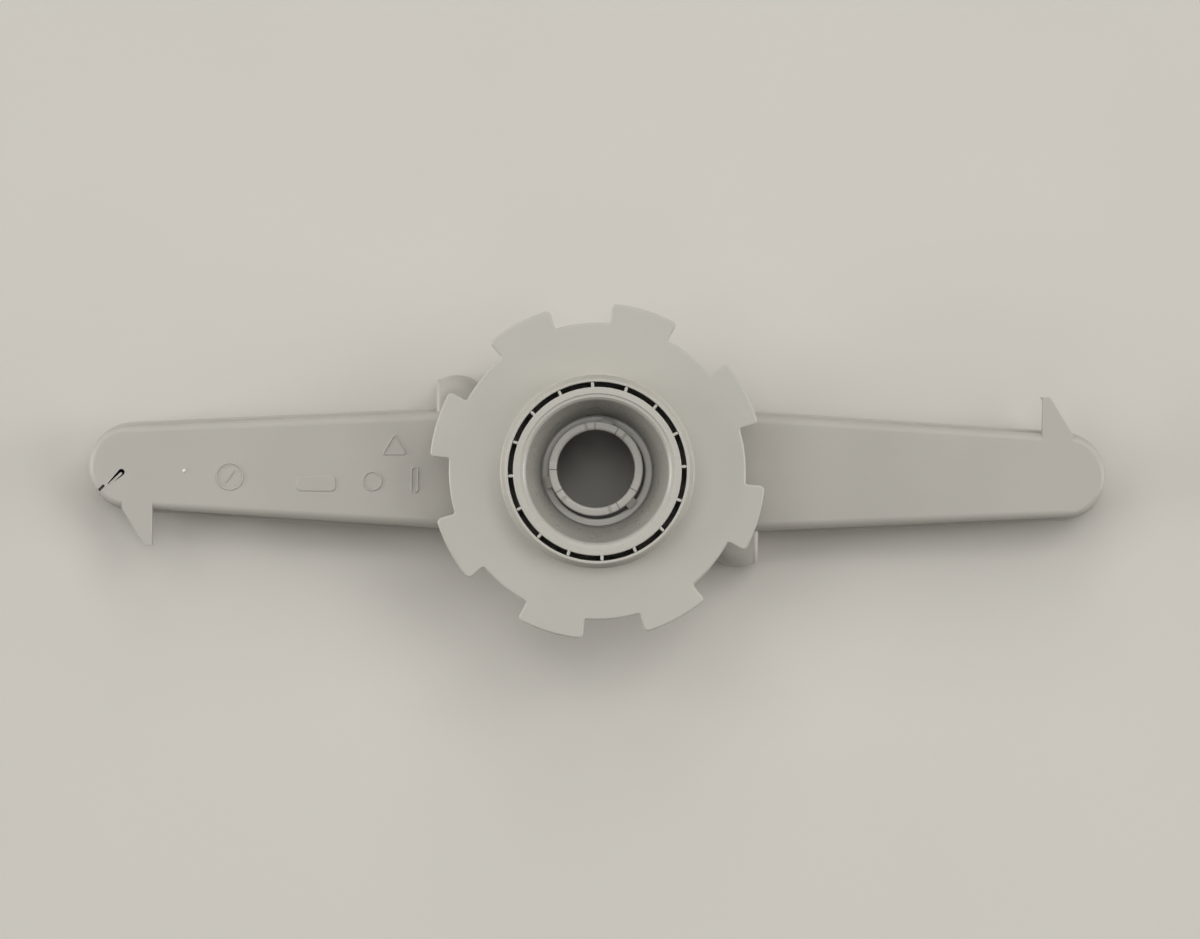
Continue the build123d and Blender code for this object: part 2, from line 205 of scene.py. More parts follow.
class HubSizes(bpy.types.PropertyGroup):
    """Sizes of the hub pot, the toothed disc and the funnel insert"""

    pot_radius: length("Pot Radius", 20.3, "Outside of the hub pot and of the disc's skirt")
    deck_height: length("Deck Height", LOWER_SHELL[1].z / MM, "From the spray face to the pot's deck")
    deck_hole: length("Deck Hole", 11.0, "Radius of the hole in the deck")
    weld_lip_reach: length("Weld Lip Reach", 0.8, "Weld lip, out from the pot")
    weld_lip_height: length("Weld Lip Height", 1.0, "Weld lip, on each side of its seam")
    disc_bottom: length("Disc Bottom", 25.5, "Height of the disc's lower face")
    disc_top: length("Disc Top", 27.5, "Height of the disc's upper face")
    disc_radius: length("Disc Radius", 34.5, "Radius over the teeth")
    disc_edge: length("Disc Edge", 0.45, "Round of the disc's upper edge")
    disc_under_edge: length("Disc Under Edge", 0.15, "Round of the disc's lower edge")
    tooth_count: IntProperty(name="Teeth", description="Teeth round the disc", default=8, min=3)
    tooth_height: length("Tooth Height", 4.0, "From the gaps to the tips of the teeth")
    tooth_arc: angle("Tooth Arc", 23.5, "Arc of a tooth's tip")
    tooth_start: angle("Tooth Start", 28.9, "Direction of the first tooth")
    tooth_corner: length("Tooth Corner", 1.0, "Round of a tooth's tip corners in plan")
    gap_corner: length("Gap Corner", 0.5, "Round of a gap's inner corners in plan")
    collar_bore: length("Collar Bore", 18.3, "Bore of the collar and of the skirt")
    collar_foot: length("Collar Foot", 1.5, "Wall of the collar at its foot")
    collar_rim: length("Collar Rim", 0.6, "Wall of the collar at its rim")
    collar_round: length("Collar Foot Round", 0.35, "Round at the collar's foot")
    rim_height: length("Rim Height", TOOTHED_DISC[1].z / MM, "Height of the collar's rim")
    slot_width: length("Ring Slot Width", 1.05, "Ring-shaped slot inside the collar")
    rim_width: length("Funnel Rim Width", 2.05, "Width of the funnel's rim")
    step_width: length("Rim Step Width", 0.7, "Low inner step of the funnel's rim")
    step_depth: length("Rim Step Depth", 0.3, "Depth of that step")
    rim_thickness: length("Rim Thickness", 1.6, "Thickness of the funnel's rim")
    funnel_wall: length("Funnel Wall", 1.5, "Wall of the funnel")
    funnel_lead: length("Funnel Lead", 0.5, "Lead-in at the funnel's mouth")
    throat: length("Throat Radius", 11.5, "Radius of the funnel's throat")
    seat_clearance: length("Seat Clearance", 0.1, "Round the bearing ring, in its seat")
    seat_wall: length("Seat Wall", 1.4, "Foot of the funnel, round the ring")
    web_count: IntProperty(name="Webs", description="Webs across the ring-shaped slot", default=16, min=3)
    web_thickness: length("Web Thickness", 0.65, "Thickness of a web")
    web_crown: factor("Web Crown", 0.95, "Round of a web's edges, as a share of half its thickness")
    web_start: angle("Web Start", 3.7, "Direction of the first web")
    web_clearance: length("Web Clearance", 0.05, "Between the webs and the collar, and below its rim")


class BearingSizes(bpy.types.PropertyGroup):
    """Sizes of the bearing ring and of the bush with its snap fingers"""

    ring_radius: length("Ring Radius", BEARING_RING[1].x / MM, "Outside of the ring")
    ring_top: length("Ring Top", BEARING_RING[1].z / MM, "Height of the ring's upper face")
    ring_bore: length("Ring Bore", 9.8, "Bore of the ring")
    ring_round: length("Ring Round", 0.35, "Round of the ring's bore edges")
    groove_width: length("Ring Groove Width", 0.22, "Groove between the ring and the funnel's throat")
    groove_depth: length("Ring Groove Depth", 0.6, "Depth of that groove")
    # Depth of the painted shade that darkens the bearing's tone in its joint.
    joint_shade_depth: length("Joint Depth", 1.4, "From the ring's top to where its joint is darkest")
    bore: length("Bush Bore", 8.0, "Bore of the bush, which takes the feed pipe")
    radius: length("Bush Radius", 9.75, "Outside of the bush's rim and of its lower end")
    body: length("Bush Body", 8.75, "Outside of the bush in the ring")
    bottom: length("Bush Bottom", BEARING_BUSH[0].z / MM, "Height of the bush's lower end")
    top: length("Bush Top", BEARING_BUSH[1].z / MM, "Height of the fingers' rim")
    flange_radius: length("Bush Flange", BEARING_BUSH[1].x / MM, "Flange of the bush, under the deck")
    flange_bottom: length("Flange Bottom", 15.6, "Height of the flange's lower face")
    flange_top: length("Flange Top", 17.2, "Height of the flange's upper face")
    rim_round: length("Bush Rim Round", 0.35, "Round of the bush's outer edges")
    bore_lead: length("Bore Lead", 0.6, "Rounded lead-in of the bush's bore")
    finger_count: IntProperty(name="Fingers", description="Snap fingers round the bush", default=3, min=1)
    finger_start: angle("Finger Start", 76.6, "Direction of the first finger")
    finger_rise: length("Finger Rise", 0.5, "Rim of the fingers above the rim between them")
    finger_arc: angle("Finger Arc", 54.0, "Arc of a finger's raised rim")
    finger_ramp: angle("Finger Ramp", 4.0, "Arc over which the rim rises at a finger")
    slit_width: length("Slit Width", 0.14, "Width of the slits beside a finger")
    slit_arc: angle("Slit Arc", 30.0, "Between the middles of a finger's two slits")
    slit_depth: length("Slit Depth", 6.0, "Depth of the slits")
    hook_arc: angle("Hook Arc", 13.0, "Arc of a hook")
    hook_reach: length("Hook Reach", 1.1, "Hook beyond the bush's rim")
    hook_height: length("Hook Height", 1.5, "Height of a hook")
    hook_front: length("Hook Front", 0.5, "Upright front of a hook, below its slope")
    hook_clearance: length("Hook Clearance", 0.25, "Between the hooks and the ring")
    rest: place("Bush Rest", (-0.32, 0.51), "Where the loose bush lies in its clearance")


class MarkSizes(bpy.types.PropertyGroup):
    """Plain moulded marks on the plain face of one wing"""

    relief: length("Relief", 0.2, "Height of the marks above the face")
    line: length("Line Width", 0.28, "Width of the marks' lines")
    gate: place("Gate", (-86.0, -0.78), "Place of the gate pip")
    gate_radius: length("Gate Radius", 0.36, "Radius of the gate pip")
    gate_dome: factor("Gate Dome", 0.9, "Round of the gate pip's top, as a share of its radius")
    clock: place("Clock", (-76.5, -1.85), "Middle of the date clock")
    clock_radius: length("Clock Radius", 2.75, "Radius of the date clock")
    clock_ticks: IntProperty(name="Clock Ticks", description="Ticks round the clock", default=12, min=0)
    clock_pointer: length("Clock Pointer", 3.025, "Length of the clock's pointer")
    clock_turn: angle("Clock Turn", 55.0, "Direction of the clock's pointer")
    tick_inset: length("Tick Inset", 0.616, "From the clock's line in to the middle of its ticks")
    plate: place("Plate", (-58.5, -3.15), "Middle of the bare plate")
    plate_size: place("Plate Size", (8.2, 3.25), "Length and width of the bare plate")
    plate_corner: length("Plate Corner", 1.0, "Round of the plate's corners")
    ring: place("Ring Mark", (-46.8, -2.5), "Middle of the plain ring mark")
    ring_radius: length("Ring Mark Radius", 1.9, "Radius of the plain ring mark")
    bar: place("Bar Mark", (-38.0, -2.15), "Middle of the plain bar mark")
    bar_size: place("Bar Mark Size", (1.3, 5.2), "Width and length of the plain bar mark")
    bar_corner: length("Bar Mark Corner", 0.62, "Round of the bar mark's corners")
    triangle: place("Triangle", (-42.3, 4.5), "Middle of the plain triangle")
    triangle_radius: length("Triangle Radius", 2.75, "From the triangle's middle to its corners")


class Finishes(bpy.types.PropertyGroup):
    """Colours, gloss and painted shade of the plastics"""

    shell: colour("Shell Grey", (0.415, 0.393, 0.35), "Satin plastic of the shells")
    # Painted highlight: the gate pip's bright spot is given as a pale colour.
    gate: colour("Gate Painted Highlight", (0.78, 0.76, 0.71), "Pale colour painted on the gate pip as its highlight")
    shell_roughness: factor("Shell Roughness", 0.4, "Roughness of the shells")
    disc: colour("Disc Grey", (0.435, 0.416, 0.367), "Plastic of the disc and the funnel")
    disc_roughness: factor("Disc Roughness", 0.36, "Roughness of the satin disc")
    insert_roughness: factor("Insert Roughness", 0.3, "Roughness of the polished funnel")
    # The next two shares darken the funnel's tone as painted shade, below its rim and towards its throat.
    rim_painted_shade: factor("Insert Fade", 0.7, "Share of the funnel's tone that is left below its rim")
    throat_painted_shade: factor("Throat Fade", 0.55, "Share of that tone that is left at the funnel's throat")
    # Painted shade: share of the bearing's tone that is left in the joint between the ring and the bush.
    joint_painted_shade: factor("Joint Fade", 0.25, "Share of the bearing's tone that is left in its joint")
    bearing: colour("Bearing Grey", (0.4, 0.387, 0.35), "Smooth plastic of the ring and the bush")
    bearing_roughness: factor("Bearing Roughness", 0.17, "Roughness of the ring and the bush")


class StageSizes(bpy.types.PropertyGroup):
    """Floor, lamps and camera"""

    floor: colour("Floor", (0.572, 0.547, 0.498), "Pale floor")
    floor_roughness: factor("Floor Roughness", 0.7, "Roughness of the floor")
    floor_size: length("Floor Size", 6000.0, "Side of the floor")
    floor_corner: length("Floor Corner", 300.0, "Round of the floor's corners")
    floor_thickness: length("Floor Thickness", 10.0, "Thickness of the floor")
    lamp_distance: length("Lamp Distance", 4000.0, "From the hub to the middle of each lamp")
    lamp_size: length("Lamp Size", 1920.0, "Side of each square lamp")
    camera_height: length("Camera Height", 1000.0, "Camera above the floor")
    camera_aim: place("Camera Aim", (0.55, 0.38), "Point of the floor under the camera")
    camera_turn: angle("Camera Turn", 0.6, "Turn of the camera about its own line")
    view_width: length("View Width", 253.2, "Width of the floor that the photograph shows")


class SprayArmSettings(bpy.types.PropertyGroup):
    """Everything that a user may change"""

    wings: PointerProperty(type=WingSizes)
    hoods: PointerProperty(type=HoodSizes)
    hub: PointerProperty(type=HubSizes)
    bearing: PointerProperty(type=BearingSizes)
    marks: PointerProperty(type=MarkSizes)
    finish: PointerProperty(type=Finishes)
    stage: PointerProperty(type=StageSizes)


# Outlines in plan, as counter-clockwise lists of points

def arc(centre, radius, start, sweep, steps):
    """Points along an arc, with both its ends."""
    turns = [start + sweep * step / steps for step in range(steps + 1)]
    return [Vector((centre[0] + radius * cos(turn), centre[1] + radius * sin(turn))) for turn in turns]


def circle(centre, radius, segments):
    """Points round a whole circle."""
    return arc(centre, radius, 0.0, 2 * pi, segments)[:-1]


def rectangle(size_x, size_y):
    """Corners of a rectangle about the origin."""
    x, y = size_x / 2, size_y / 2
    return [Vector((-x, -y)), Vector((x, -y)), Vector((x, y)), Vector((-x, y))]


def teardrop(overall, wide, narrow):
    """Slot with round ends about the origin, along X, which narrows towards -X."""
    right = arc(((overall - wide) / 2, 0.0), wide / 2, -pi / 2, pi, SLOT_STEPS)
    left = arc(((narrow - overall) / 2, 0.0), narrow / 2, pi / 2, pi, SLOT_STEPS)
    return right + left


def stadium(overall, width):
    """Slot of one width."""
    return teardrop(overall, width, width)


def moved(outline, centre, turn=0.0):
    """The outline turned about the origin and then moved."""
    spin = Matrix.Rotation(turn, 2)
    return [spin @ point + Vector(centre) for point in outline]


def each(value, outline):
    """A value for each point of an outline: the given list, or one number for all of them."""
    return value if isinstance(value, list) else [value] * len(outline)


def corners(outline):
    """Each point of a closed outline, between the points before and after it."""
    return zip(outline[-1:] + outline[:-1], outline, outline[1:] + outline[:1])


def rounded(outline, radii):
    """The outline with round corners, of one radius or of a list of radii. At 0 a corner stays."""
    result = []
    for (before, here, after), radius in zip(corners(outline), each(radii, outline)):
        if radius == 0.0:
            result.append(here.copy())
            continue
        back = (before - here).normalized()
        ahead = (after - here).normalized()
        half = back.angle(ahead) / 2
        centre = here + (back + ahead).normalized() * (radius / sin(half))
        first = here + back * (radius / tan(half)) - centre
        last = here + ahead * (radius / tan(half)) - centre
        sweep = atan2(first.x * last.y - first.y * last.x, first.dot(last))
        start = atan2(first.y, first.x)
        result += arc(centre, radius, start, sweep, CORNER_STEPS)
    return result


def mitres(outline):
    """For each point, the way out of the outline that moves both its edges out by one unit."""
    result = []
    for before, here, after in corners(outline):
        first = (here - before).normalized()
        second = (after - here).normalized()
        first_out = Vector((first.y, -first.x))
        second_out = Vector((second.y, -second.x))
        result.append((first_out + second_out) / (1 + first_out.dot(second_out)))
    return result


def wing_taper(wings):
    """Angle between a wing's side and the arm's line."""
    return asin((wings.root_radius - wings.tip_radius) / wings.tip_centre)


def wing_outline(wings, grow=0.0):
    """Outline of the two tapered wings, grown by an even margin."""
    taper = wing_taper(wings)
    outline = []
    for side, start in ((1, 0.0), (-1, pi)):
        tip_centre = (side * wings.tip_centre, 0.0)
        tip_start = start + taper - pi / 2
        outline += arc(tip_centre, wings.tip_radius + grow, tip_start, pi - 2 * taper, TIP_STEPS)
        root_start = start + pi / 2 - taper
        outline += arc((0.0, 0.0), wings.root_radius + grow, root_start, 2 * taper, ROOT_STEPS)
    return outline


def wing_half_width(wings, along):
    """Half the width of the wings at a distance from the hub's axis."""
    taper = wing_taper(wings)
    return (wings.root_radius - along * sin(taper)) / cos(taper)


def toothed_outline(hub):
    """Outline of the disc with its coarse square teeth."""
    pitch = 2 * pi / hub.tooth_count
    outline, radii = [], []
    for number in range(hub.tooth_count):
        first = hub.tooth_start + number * pitch - hub.tooth_arc / 2
        tip = arc((0.0, 0.0), hub.disc_radius, first, hub.tooth_arc, TOOTH_STEPS)
        gap_radius = hub.disc_radius - hub.tooth_height
        gap = arc((0.0, 0.0), gap_radius, first + hub.tooth_arc, pitch - hub.tooth_arc, GAP_STEPS)
        for stretch, corner in ((tip, hub.tooth_corner), (gap, hub.gap_corner)):
            outline += stretch
            radii += [corner] + [0.0] * (len(stretch) - 2) + [corner]
    return rounded(outline, radii)


# Closed meshes

@contextmanager
def edited(mesh):
    """Edit form of a mesh, which is written back to it at the end."""
    shape = bmesh.new()
    shape.from_mesh(mesh)
    yield shape
    shape.to_mesh(mesh)
    shape.free()


def loft(loops, closed=False):
    """Skin over loops of equal length, with both ends capped unless the last loop meets the first."""
    mesh = bpy.data.meshes.new("loft")
    with edited(mesh) as shape:
        rows = [[shape.verts.new(point) for point in loop] for loop in loops]
        pairs = list(zip(rows, rows[1:]))
        if closed:
            pairs.append((rows[-1], rows[0]))
        else:
            shape.faces.new(list(reversed(rows[0])))
            shape.faces.new(rows[-1])
        for low, high in pairs:
            for here in range(len(low)):
                after = (here + 1) % len(low)
                shape.faces.new((low[here], low[after], high[after], high[here]))
        bmesh.ops.remove_doubles(shape, verts=shape.verts, dist=MERGE_DISTANCE)
        bmesh.ops.recalc_face_normals(shape, faces=shape.faces)
    return mesh


def edge_loops(outline, height, rounds, sign):
    """Loops from the wall to the face at a rounded edge. The sign is 1 for an upper face, or else -1."""
    ways = mitres(outline)
    loops = []
    for step in range(EDGE_STEPS + 1):
        turn = pi / 2 * step / EDGE_STEPS
        loop = []
        for point, way, radius in zip(outline, ways, each(rounds, outline)):
            flat = point - way * radius * (1 - cos(turn))
            loop.append(Vector((flat.x, flat.y, height - sign * radius * (1 - sin(turn)))))
        loops.append(loop)
    return loops


def level_loop(outline, height):
    return [Vector((point.x, point.y, height)) for point in outline]


def slab(outline, bottom, top, bottom_round=0.0, top_round=0.0):
    """Solid between two heights. A round is one radius for an edge, or a list of one for each point."""
    loops = [level_loop(outline, bottom)]
    if bottom_round:
        loops = edge_loops(outline, bottom, bottom_round, -1)[::-1]
    if top_round:
        loops += edge_loops(outline, top, top_round, 1)
    else:
        loops.append(level_loop(outline, top))
    return loft(loops)


def cylinder(radius, bottom, top, *rounds):
    return slab(circle((0.0, 0.0), radius, TURN_SEGMENTS), bottom, top, *rounds)


def section(profile):
    """Closed section from a profile of (radius, height, corner round)."""
    points = [Vector((radius, height)) for radius, height, corner in profile]
    return rounded(points, [corner for radius, height, corner in profile])


def in_direction(points, turn):
    """Points of a section, set in one direction from the hub's axis."""
    return [Vector((point.x * cos(turn), point.x * sin(turn), point.y)) for point in points]


def turned(profile):
    """Ring turned about the hub's axis from a profile."""
    points = section(profile)
    rings = [level_loop(circle((0.0, 0.0), point.x, TURN_SEGMENTS), point.y) for point in points]
    return loft(rings, closed=True)


def turned_sector(profile, arc_angle, steps):
    """Piece of such a ring, about the X axis."""
    points = section(profile)
    turns = [arc_angle * (step / steps - 0.5) for step in range(steps + 1)]
    return loft([in_direction(points, turn) for turn in turns])


def cut_flat(mesh, point, outward):
    """Cuts a closed mesh off at a plane and closes it there."""
    with edited(mesh) as shape:
        everything = shape.verts[:] + shape.edges[:] + shape.faces[:]
        bmesh.ops.bisect_plane(shape, geom=everything, plane_co=point, plane_no=outward, clear_outer=True)
        rim = [edge for edge in shape.edges if edge.is_boundary]
        bmesh.ops.holes_fill(shape, edges=rim)
        bmesh.ops.recalc_face_normals(shape, faces=shape.faces)
    return mesh


def both_ends(mesh):
    """The mesh, and a copy of it at the other end of the arm."""
    copy = mesh.copy()
    copy.transform(Matrix.Rotation(pi, 4, "Z"))
    return [mesh, copy]


def stand_in(mesh):
    """Object that holds a mesh while a modifier works on it."""
    holder = bpy.data.objects.new("stand_in", mesh)
    bpy.context.scene.collection.objects.link(holder)
    return holder


def plain_mesh(holder):
    """What a holder's modifiers make, as a mesh of its own. The holder goes."""
    graph = bpy.context.evaluated_depsgraph_get()
    mesh = bpy.data.meshes.new_from_object(holder.evaluated_get(graph), depsgraph=graph)
    bpy.data.objects.remove(holder)
    return mesh


def combined(solids, cuts=()):
    """One closed mesh of solids that overlap, less what the cuts take out."""
    holder = stand_in(solids[0])
    steps = [(mesh, "UNION") for mesh in solids[1:]] + [(mesh, "DIFFERENCE") for mesh in cuts]
    tools = []
    for mesh, operation in steps:
        tool = stand_in(mesh)
        modifier = holder.modifiers.new(operation.title(), "BOOLEAN")
        modifier.operation = operation
        modifier.solver = "MANIFOLD"
        modifier.object = tool
        tools.append(tool)
    mesh = plain_mesh(holder)
    for tool in tools:
        bpy.data.objects.remove(tool)
    with edited(mesh) as shape:
        bmesh.ops.remove_doubles(shape, verts=shape.verts, dist=MERGE_DISTANCE)
        bmesh.ops.dissolve_degenerate(shape, edges=shape.edges, dist=MERGE_DISTANCE)
        bmesh.ops.dissolve_limit(shape, angle_limit=FLAT_ANGLE, verts=shape.verts, edges=shape.edges)
        open_edges = sum(not edge.is_manifold for edge in shape.edges)
    if open_edges or not mesh.polygons:
        raise RuntimeError(f"a combined shell has {open_edges} open edges")
    return mesh


# Node trees that repeat a shape

def add_node(tree, kind, inputs=None, **settings):
    """Node with its settings. An input is given as a value or as another node's socket."""
    node = tree.nodes.new(kind)
    for name, value in settings.items():
        setattr(node, name, value)
    for name, value in (inputs or {}).items():
        if isinstance(value, bpy.types.NodeSocket):
            tree.links.new(value, node.inputs[name])
        else:
            node.inputs[name].default_value = value
    return node


def math_node(tree, operation, first, second):
    return add_node(tree, "ShaderNodeMath", {0: first, 1: second}, operation=operation).outputs[0]


def repeat_tree(name, numbers, place_points):
    """Tree that sets copies of a shape on points. place_points gives each point's position and turn."""
    tree = bpy.data.node_groups.new(name, "GeometryNodeTree")
    kinds = {"Shape": "Geometry", "Count": "Int", **dict.fromkeys(numbers, "Float"), "Material": "Material"}
    for socket, kind in kinds.items():
        tree.interface.new_socket(socket, in_out="INPUT", socket_type="NodeSocket" + kind)
    tree.interface.new_socket("Shapes", in_out="OUTPUT", socket_type="NodeSocketGeometry")
    given = add_node(tree, "NodeGroupInput").outputs
    index = add_node(tree, "GeometryNodeInputIndex").outputs[0]
    position, turn = place_points(tree, given, index)
    points = add_node(tree, "GeometryNodePoints", {"Count": given["Count"], "Position": position})
    about_z = add_node(tree, "ShaderNodeCombineXYZ", {"Z": turn})
    rotation = add_node(tree, "FunctionNodeEulerToRotation", {0: about_z.outputs[0]})
    copies = {"Points": points.outputs[0], "Instance": given["Shape"], "Rotation": rotation.outputs[0]}
    spread = add_node(tree, "GeometryNodeInstanceOnPoints", copies)
    real = add_node(tree, "GeometryNodeRealizeInstances", {0: spread.outputs[0]})
    painted = {"Geometry": real.outputs[0], "Material": given["Material"]}
    paint = add_node(tree, "GeometryNodeSetMaterial", painted)
    add_node(tree, "NodeGroupOutput", {0: paint.outputs[0]})
    return tree


def round_the_axis(tree, given, index):
    """Even turns about the Z axis from a start."""
    step = math_node(tree, "DIVIDE", 2 * pi, given["Count"])
    turn = math_node(tree, "MULTIPLY", index, step)
    return (0.0, 0.0, 0.0), math_node(tree, "ADD", turn, given["Start"])


def along_the_wing(tree, given, index):
    """Even steps along X, with every second copy turned the other way."""
    shift = math_node(tree, "MULTIPLY", index, given["Pitch"])
    along = math_node(tree, "ADD", shift, given["First"])
    odd = math_node(tree, "MODULO", index, 2)
    swing = math_node(tree, "MULTIPLY", odd, math_node(tree, "MULTIPLY", given["Turn"], -2.0))
    flip = math_node(tree, "MULTIPLY", odd, pi)
    turn = math_node(tree, "ADD", math_node(tree, "ADD", given["Turn"], swing), flip)
    return add_node(tree, "ShaderNodeCombineXYZ", {"X": along}).outputs[0], turn


def node_tree(name, numbers, place_points):
    """The named tree, built once."""
    return bpy.data.node_groups.get(name) or repeat_tree(name, numbers, place_points)


def repeated(tree, mesh, material, **values):
    """Plain mesh of the copies that a tree makes of a mesh."""
    holder = stand_in(mesh)
    modifier = holder.modifiers.new("Copies", "NODES")
    modifier.node_group = tree
    given = {"Material": material, **values}
    for socket in tree.interface.items_tree:
        if socket.in_out == "INPUT" and socket.name in given:
            modifier[socket.identifier] = given[socket.name]
    return plain_mesh(holder)


def ring_of_copies(mesh, material, count, start):
    tree = node_tree("Copies Round The Hub", ["Start"], round_the_axis)
    return repeated(tree, mesh, material, Count=count, Start=start)


def row_of_copies(mesh, material, hoods):
    tree = node_tree("Nozzles Along A Wing", ["First", "Pitch", "Turn"], along_the_wing)
    numbers = {"First": hoods.nozzle_first, "Pitch": hoods.nozzle_pitch, "Turn": hoods.nozzle_turn}
    return repeated(tree, mesh, material, Count=hoods.nozzle_count, **numbers)


# Materials

def map_range(tree, value, low, high, to_low, to_high):
    """A value, with one range mapped to another."""
    inputs = {"Value": value, "From Min": low, "From Max": high, "To Min": to_low, "To Max": to_high}
    return add_node(tree, "ShaderNodeMapRange", inputs).outputs["Result"]


def noise(tree, where, scale, detail, low, high):
    """Noise over object coordinates, with its middle mapped to a range of values."""
    texture = add_node(tree, "ShaderNodeTexNoise", {"Vector": where, "Scale": scale, "Detail": detail})
    return map_range(tree, texture.outputs["Fac"], *NOISE_MIDDLE, low, high)


def painted_shade_ramp(tree, where, bottom, top, low):
    """Painted shade: a tone that fades from full at the top height to a low share at the bottom one."""
    axes = add_node(tree, "ShaderNodeSeparateXYZ", {"Vector": where})
    return map_range(tree, axes.outputs["Z"], bottom, top, low, 1.0)


def tinted(tree, base, tone):
    """A colour times a tone."""
    inputs = {"Factor": 1.0, "A": (*base, 1.0), "B": tone}
    mix = add_node(tree, "ShaderNodeMix", inputs, data_type="RGBA", blend_type="MULTIPLY")
    return mix.outputs["Result"]


def blank_material(name):
    """Material with an empty tree, and the object coordinates in it."""
    material = bpy.data.materials.new(name)
    material.use_nodes = True
    tree = material.node_tree
    tree.nodes.clear()
    return material, tree, add_node(tree, "ShaderNodeTexCoord").outputs["Object"]


def add_surface(tree, looks):
    """Shader with its looks, as the surface of a material."""
    shader = add_node(tree, "ShaderNodeBsdfPrincipled", looks)
    add_node(tree, "ShaderNodeOutputMaterial", {"Surface": shader.outputs["BSDF"]})


def moulded_plastic(name, base, roughness, mottle, grain, specular, painted_shades=()):
    """Moulded plastic: faint cloudy tone, a fine grain in its surface and uneven gloss.

    Each painted shade gives the bottom and top heights and the low share of a tone that it darkens
    downwards.
    """
    if name in bpy.data.materials:
        return bpy.data.materials[name]
    material, tree, where = blank_material(name)
    tone = noise(tree, where, CLOUD_SCALE, detail=4.0, low=1.0 - mottle, high=1.0 + mottle)
    # painted shade: the tone is darkened towards the bottom of each given span
    for fade in painted_shades:
        tone = math_node(tree, "MULTIPLY", tone, painted_shade_ramp(tree, where, *fade))
    height = noise(tree, where, GRAIN_SCALE, detail=2.0, low=0.0, high=1.0)
    bump = add_node(tree, "ShaderNodeBump", {"Strength": grain, "Distance": GRAIN_DEPTH, "Height": height})
    low, high = roughness - GLOSS_SPREAD[0], roughness + GLOSS_SPREAD[1]
    looks = {
        "Base Color": tinted(tree, base, tone),
        "Roughness": noise(tree, where, GLOSS_SCALE, detail=3.0, low=low, high=high),
        "Specular IOR Level": specular,
        "Normal": bump.outputs["Normal"],
    }
    add_surface(tree, looks)
    return material


def shell_plastic(finish):
    looks = {"mottle": 0.02, "grain": 0.35, "specular": 0.4}
    return moulded_plastic("shell_satin", finish.shell, finish.shell_roughness, **looks)


# Pale plastic of the gate pip, whose colour is a painted highlight.
def gate_highlight_plastic(finish):
    looks = {"mottle": 0.04, "grain": 0.35, "specular": 0.5}
    return moulded_plastic("gate_painted_highlight", finish.gate, finish.shell_roughness, **looks)


def disc_plastic(finish):
    looks = {"mottle": 0.015, "grain": 0.25, "specular": 0.45}
    return moulded_plastic("disc_satin", finish.disc, finish.disc_roughness, **looks)


def insert_plastic(finish, hub):
    """Polished funnel, with painted shade that darkens its tone below its rim and again towards its throat.
    """
    middle = (BEARING_RING[1].z + hub.rim_height) / 2
    painted_shades = [
        (hub.rim_height - hub.rim_thickness, hub.rim_height - hub.step_depth, finish.rim_painted_shade),
        (BEARING_RING[1].z, middle, finish.throat_painted_shade),
    ]
    looks = {"mottle": 0.015, "grain": 0.008, "specular": 0.5, "painted_shades": painted_shades}
    return moulded_plastic("insert_gloss", finish.disc, finish.insert_roughness, **looks)


def bearing_plastic(finish, bearing):
    """Glossy plastic of the ring and the bush, with painted shade that darkens its tone in the joint
    between them.
    """
    top = bearing.ring_top
    painted_shades = [(top - bearing.joint_shade_depth, top - bearing.ring_round, finish.joint_painted_shade)]
    looks = {"mottle": 0.03, "grain": 0.1, "specular": 0.5, "painted_shades": painted_shades}
    return moulded_plastic("bearing_gloss", finish.bearing, finish.bearing_roughness, **looks)


# Finished pieces

def finished(name, mesh, material, body, slot, *nodes):
    """Puts a finished mesh in the scene, on its body and in place of its CAD nodes."""
    mesh.name = name
    mesh.materials.clear()
    mesh.materials.append(material)
    mesh.shade_smooth()
    mesh.set_sharp_from_angle(angle=SHARP_ANGLE)
    piece = bpy.data.objects.new(name, mesh)
    bpy.context.scene.collection.objects.link(piece)
    even = piece.modifiers.new("Even Normals", "WEIGHTED_NORMAL")
    even.keep_sharp = True
    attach(piece, body)
    if nodes:
        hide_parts(*nodes)


def wing_rounds(wings, outline):
    """Radius of the plain face's edge at each point, smaller round the tips."""
    rounds = []
    for point in outline:
        beyond = (abs(point.x) - wings.tip_centre) / wings.tip_radius
        share = min(max(beyond + 0.5, 0.0), 1.0)
        ease = share * share * (3 - 2 * share)
        rounds.append(wings.side_round + (wings.tip_round - wings.side_round) * ease)
    return rounds


def fin(wings):
    """Flat fin beside the right tip, level with the plain face."""
    inner = wings.tip_centre - wings.fin_inner_edge
    end = wings.tip_radius + wings.fin_reach
    outline = [
        Vector((inner, 0.0)),
        Vector((inner + wings.fin_root_width, 0.0)),
        Vector((inner + wings.fin_root_width, wings.tip_radius)),
        Vector((inner + wings.fin_end_width, end)),
        Vector((inner - wings.fin_lip, end)),
        Vector((inner, end - wings.fin_lip)),
    ]
    corner, edge = wings.fin_round, wings.fin_edge
    outline = rounded(outline, [0.0, 0.0, 0.0, corner, corner / 3, corner])
    return slab(outline, wings.arm_height - wings.fin_thickness, wings.arm_height, edge, edge)


